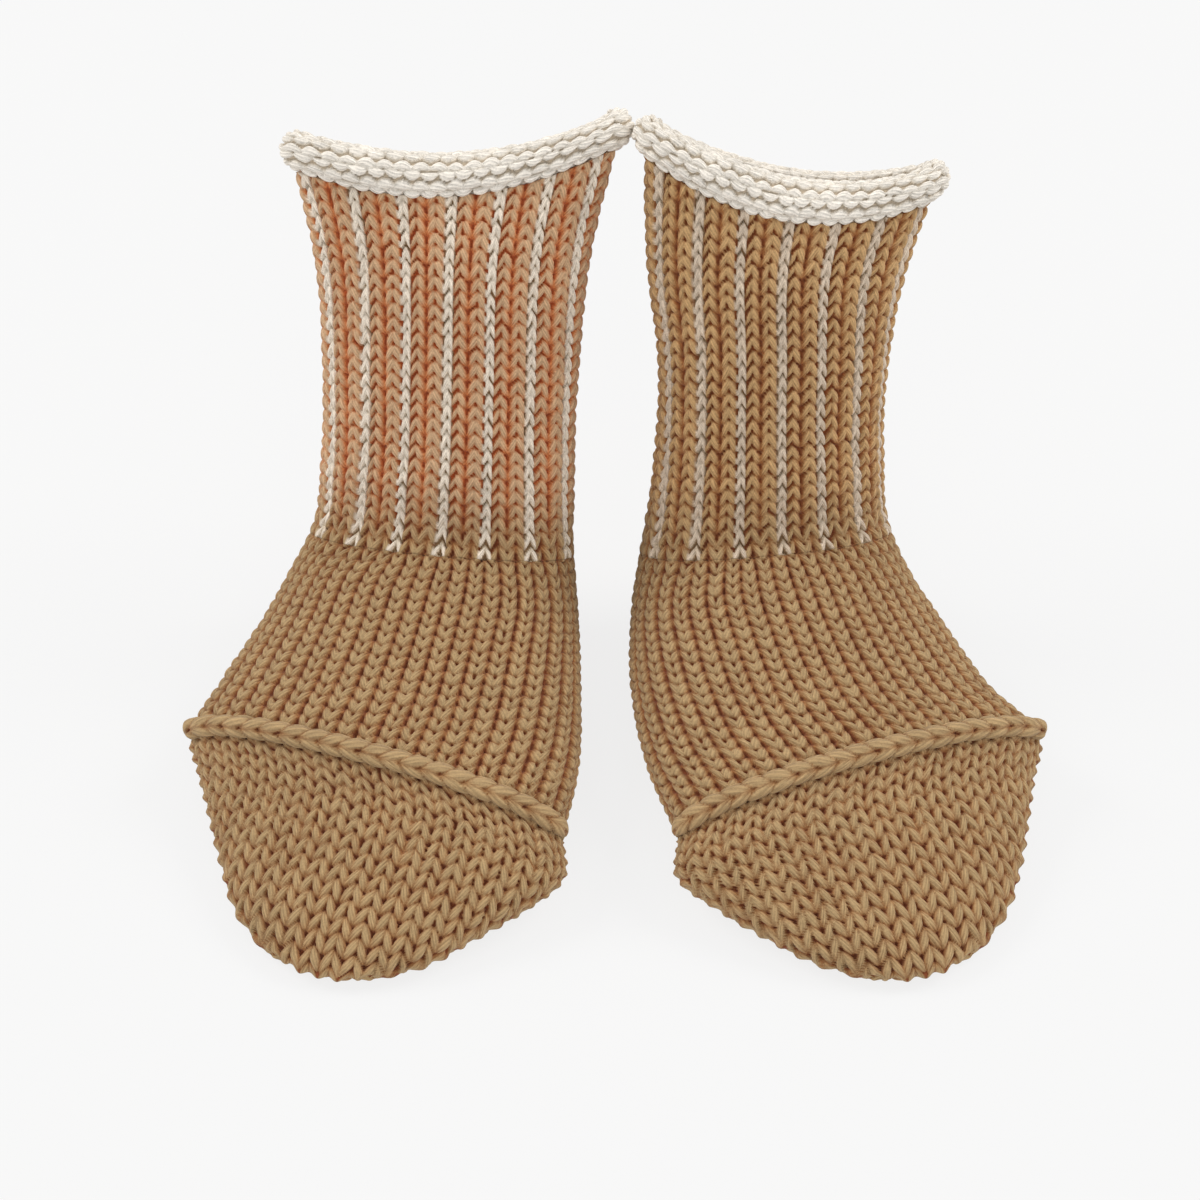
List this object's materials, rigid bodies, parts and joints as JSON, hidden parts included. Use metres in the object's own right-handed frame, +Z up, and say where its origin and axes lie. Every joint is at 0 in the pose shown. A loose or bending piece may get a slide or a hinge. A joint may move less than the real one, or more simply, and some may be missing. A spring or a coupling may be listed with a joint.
{
  "type": "pair of knitted baby socks",
  "caption": "Chunky knitted baby socks standing on their soles: rolled cuff, striped leg, plain foot, and a toe pocket joined by a raised seam.",
  "frame": {"origin": "on the floor, in the middle of the pair's footprint", "axes": "+Z up through the open cuffs, -Y the way the toes point, +X towards the sock on the right of the picture"},
  "size_m": [0.1436, 0.1133, 0.0927],
  "materials": {
    "cream_knit": "matt cotton yarn, purl side out",
    "striped_knit": "matt cotton yarn in cream and tan stripes",
    "tan_knit": "matt cotton yarn, plain knit side out"
  },
  "bodies": {
    "root": {"left_cuff": "cream_knit", "left_leg": "striped_knit", "left_foot": "tan_knit", "left_toe": "tan_knit", "left_toe_seam": "tan_knit", "right_cuff": "cream_knit", "right_leg": "striped_knit", "right_foot": "tan_knit", "right_toe": "tan_knit", "right_toe_seam": "tan_knit"}
  },
  "joints": []
}
